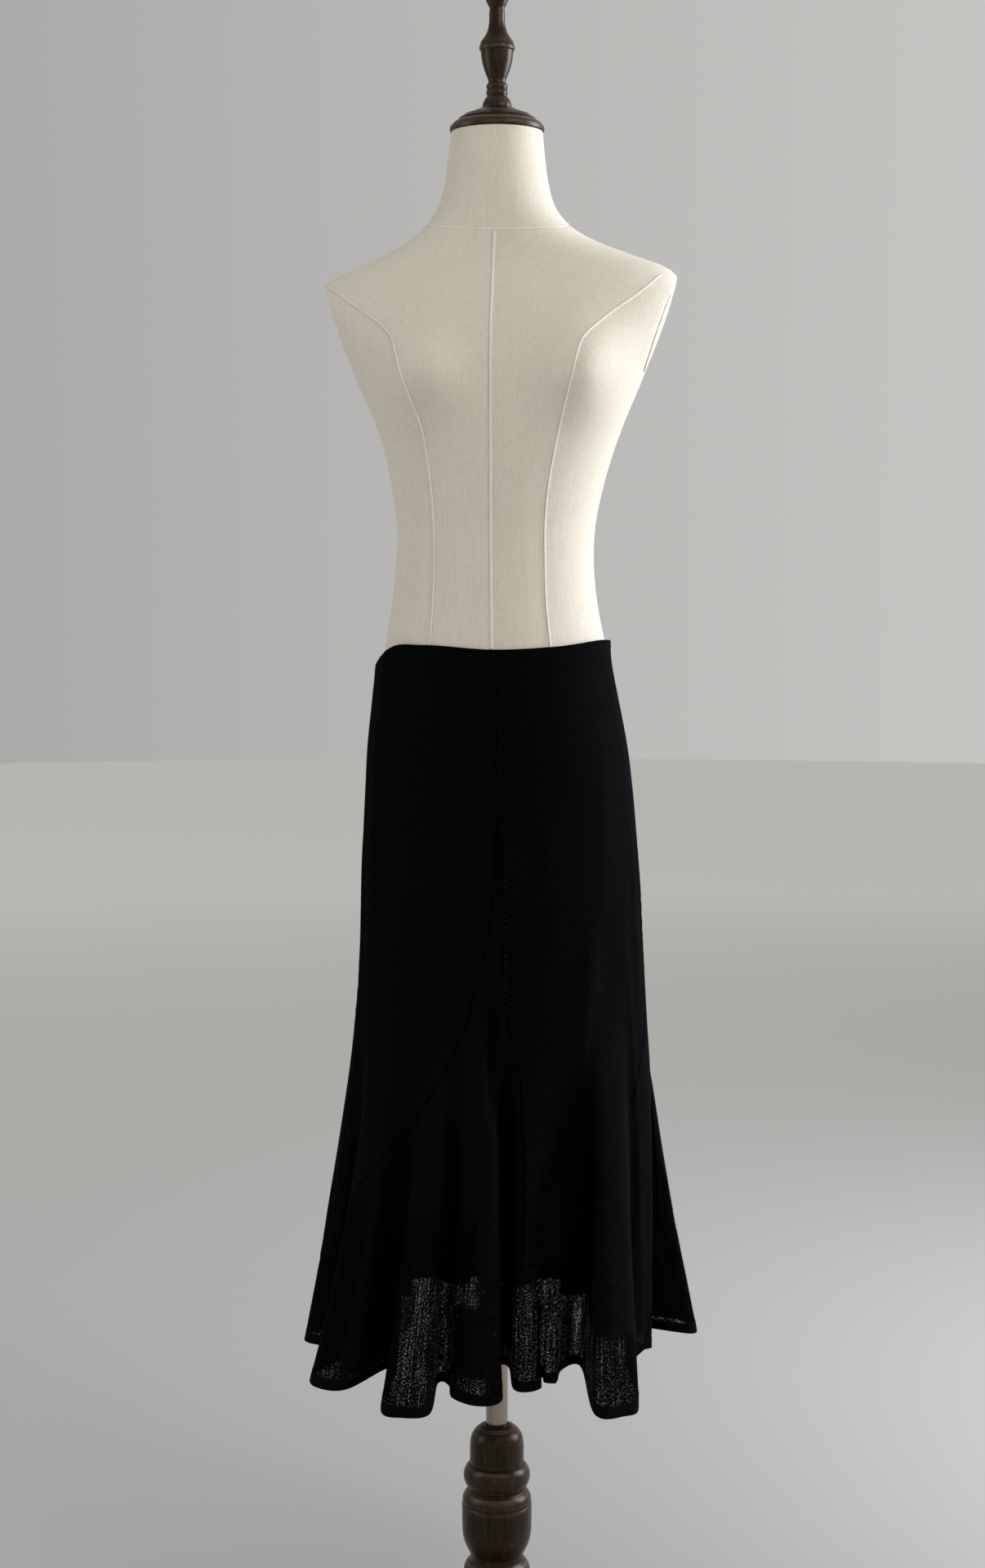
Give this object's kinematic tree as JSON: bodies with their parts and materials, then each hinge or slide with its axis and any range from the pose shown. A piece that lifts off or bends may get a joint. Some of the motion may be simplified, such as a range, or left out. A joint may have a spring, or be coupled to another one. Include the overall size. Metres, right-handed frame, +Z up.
{
  "type": "mermaid skirt on a dress form",
  "caption": "Black semi-sheer crepe mermaid skirt of petal panels and flared godets, fluted at the hem, standing on a cream linen dress form with a turned wood stand",
  "frame": {"origin": "on the floor, in the middle of the foot's flat underside", "axes": "+Z up along the pole, the skirt's front towards -Y, +X to the viewer's right from the front"},
  "size_m": [0.4574, 0.462, 1.9515],
  "materials": {
    "black_crepe": "semi-sheer black crepe with a fine crinkle, matt",
    "cream_linen": "plain woven cream linen, matt",
    "dark_wood": "dark brown turned wood, satin, rubbed lighter on the edges",
    "chrome": "polished chrome plate"
  },
  "bodies": {
    "stand": {"stand_foot": "dark_wood", "stand_column": "dark_wood"},
    "pole": {"pole": "chrome", "pole_collar": "chrome"},
    "form": {"form_torso": "cream_linen", "form_neck": "cream_linen", "arm_plate_left": "cream_linen", "arm_plate_right": "cream_linen", "neck_cap": "dark_wood", "finial": "dark_wood", "panel_front_right": "black_crepe", "panel_back_right": "black_crepe", "panel_back_left": "black_crepe", "panel_front_left": "black_crepe", "godet_front": "black_crepe", "godet_right": "black_crepe", "godet_back": "black_crepe", "godet_left": "black_crepe"}
  },
  "joints": [
    {"name": "height", "type": "slide", "parent": "stand", "child": "pole", "axis": [0, 0, 1], "range_m": [-0.13, 0.06]},
    {"name": "turn", "type": "hinge", "parent": "pole", "child": "form", "pos_m": [0, 0, 1.03], "axis": [0, 0, 1], "continuous": true}
  ]
}
